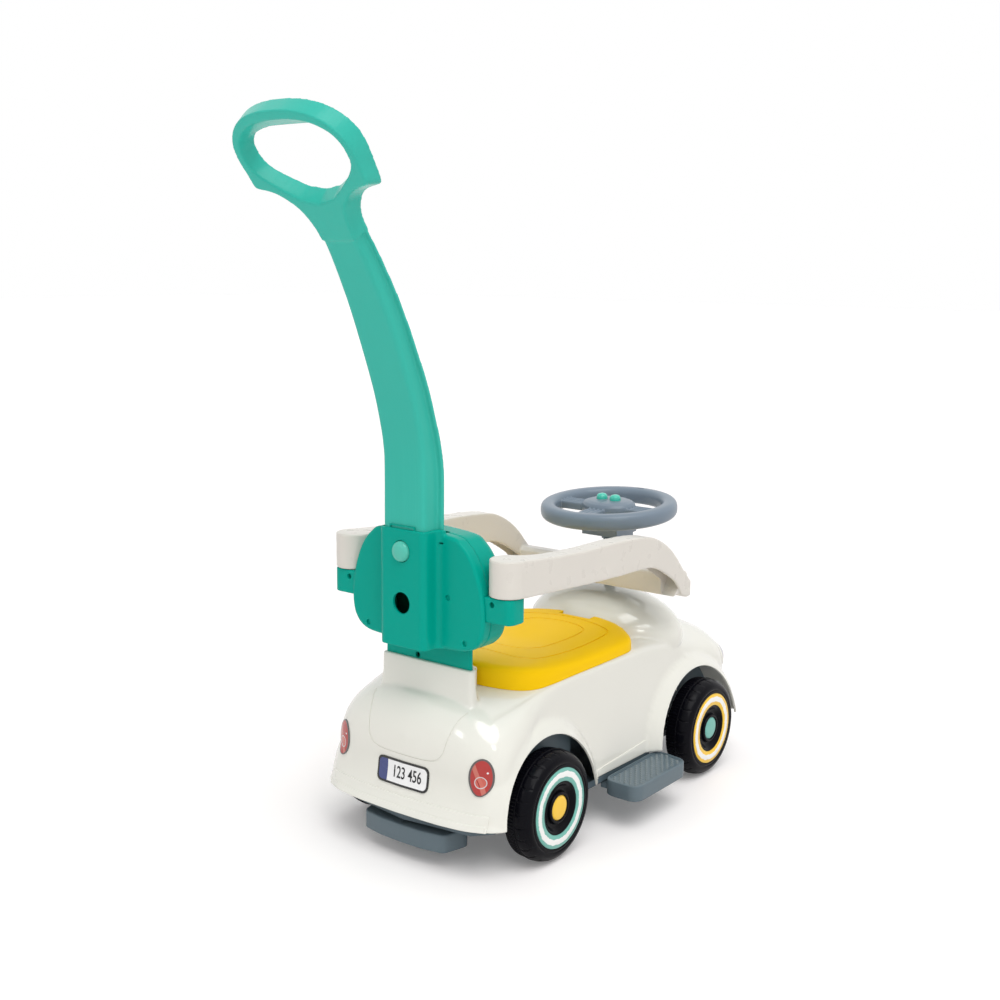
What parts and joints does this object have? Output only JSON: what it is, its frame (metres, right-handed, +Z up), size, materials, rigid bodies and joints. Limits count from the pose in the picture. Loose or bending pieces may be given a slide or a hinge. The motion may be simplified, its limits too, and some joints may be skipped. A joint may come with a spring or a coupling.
{
  "type": "kids ride-on car",
  "caption": "Kids' foot-to-floor ride-on car with steering wheel, opening storage seat, backrest, safety guard and a tall parent push handle.",
  "frame": {"origin": "on the floor, below the middle of the car's length and width", "axes": "+Z up, -Y to the car's front, -X to its right-hand side"},
  "size_m": [0.3502, 0.7718, 0.8302],
  "materials": {
    "body_white": "glossy off-white moulded shell",
    "chassis_grey": "satin blue-grey",
    "wheel_grey": "satin blue-grey with a soft sheen",
    "steel": "plain drawn rod and screw heads",
    "backrest_teal": "satin green-teal",
    "handle_teal": "satin light teal",
    "seat_yellow": "glossy warm yellow",
    "guard_cream": "satin cream",
    "tyre_black": "hard glossy black plastic, ribbed tread",
    "trim_teal": "printed teal",
    "tail_red": "printed red lamp label",
    "headlight_silver": "bright silver dome",
    "plate_white": "plain white label with rounded black border"
  },
  "bodies": {
    "car": {"body_shell": "body_white", "storage_bin": "chassis_grey", "chassis_tray": "chassis_grey", "left_footrest": "chassis_grey", "right_footrest": "chassis_grey", "rear_stopper": "chassis_grey", "rear_axle": "steel", "backrest_rear_shell": "backrest_teal", "backrest_front_shell": "backrest_teal", "backrest_screw_left_low": "steel", "backrest_screw_right_low": "steel", "backrest_screw_left_high": "steel", "backrest_screw_right_high": "steel", "safety_guard": "guard_cream", "left_tail_lamp": "tail_red", "right_tail_lamp": "tail_red", "left_headlight": "headlight_silver", "right_headlight": "headlight_silver", "number_plate": "plate_white"},
    "steering": {"axle_yoke": "chassis_grey", "front_axle": "steel", "steering_column": "chassis_grey", "steering_wheel": "wheel_grey", "battery_box": "chassis_grey"},
    "horn_left": {"horn_pad_left": "handle_teal"},
    "horn_right": {"horn_pad_right": "handle_teal"},
    "rear_left_wheel_set": {"rear_left_wheel": "tyre_black", "rear_left_ring": "trim_teal", "rear_left_cap": "seat_yellow"},
    "rear_right_wheel_set": {"rear_right_wheel": "tyre_black", "rear_right_ring": "trim_teal", "rear_right_cap": "seat_yellow"},
    "front_left_wheel_set": {"front_left_wheel": "tyre_black", "front_left_ring": "seat_yellow", "front_left_cap": "trim_teal"},
    "front_right_wheel_set": {"front_right_wheel": "tyre_black", "front_right_ring": "seat_yellow", "front_right_cap": "trim_teal"},
    "seat": {"seat_lid": "seat_yellow"},
    "handle": {"push_handle": "handle_teal"},
    "lock": {"lock_button": "handle_teal"}
  },
  "joints": [
    {"name": "steering_turn", "type": "hinge", "parent": "car", "child": "steering", "pos_m": [0, -0.23608, 0.0652], "axis": [0, 0.0698, 0.9976], "range_deg": [-10, 10]},
    {"name": "front_left_spin", "type": "hinge", "parent": "steering", "child": "front_left_wheel_set", "pos_m": [0.148, -0.2536, 0.0652], "axis": [1, 0, 0], "continuous": true},
    {"name": "rear_left_spin", "type": "hinge", "parent": "car", "child": "rear_left_wheel_set", "pos_m": [0.148, 0.0954, 0.0652], "axis": [1, 0, 0], "continuous": true},
    {"name": "front_right_spin", "type": "hinge", "parent": "steering", "child": "front_right_wheel_set", "pos_m": [-0.148, -0.2536, 0.0652], "axis": [1, 0, 0], "continuous": true},
    {"name": "rear_right_spin", "type": "hinge", "parent": "car", "child": "rear_right_wheel_set", "pos_m": [-0.148, 0.0954, 0.0652], "axis": [1, 0, 0], "continuous": true},
    {"name": "horn_left_press", "type": "slide", "parent": "steering", "child": "horn_left", "axis": [0, -0.0698, -0.9976], "range_m": [0, 0.0025], "stiffness_N_per_m": 800, "springref_m": -0.0005},
    {"name": "horn_right_press", "type": "slide", "parent": "steering", "child": "horn_right", "axis": [0, -0.0698, -0.9976], "range_m": [0, 0.0025], "stiffness_N_per_m": 800, "springref_m": -0.0005},
    {"name": "seat_open", "type": "hinge", "parent": "car", "child": "seat", "pos_m": [0, 0.1279, 0.2168], "axis": [-1, 0, 0], "range_deg": [0, 60]},
    {"name": "handle_slide", "type": "slide", "parent": "car", "child": "handle", "axis": [0, 0, -1], "range_m": [0, 0.059], "deforming": ["lock_button"]},
    {"name": "lock_press", "type": "slide", "parent": "handle", "child": "lock", "axis": [0, -1, 0], "range_m": [0, 0.0098], "stiffness_N_per_m": 500, "springref_m": -0.001}
  ]
}
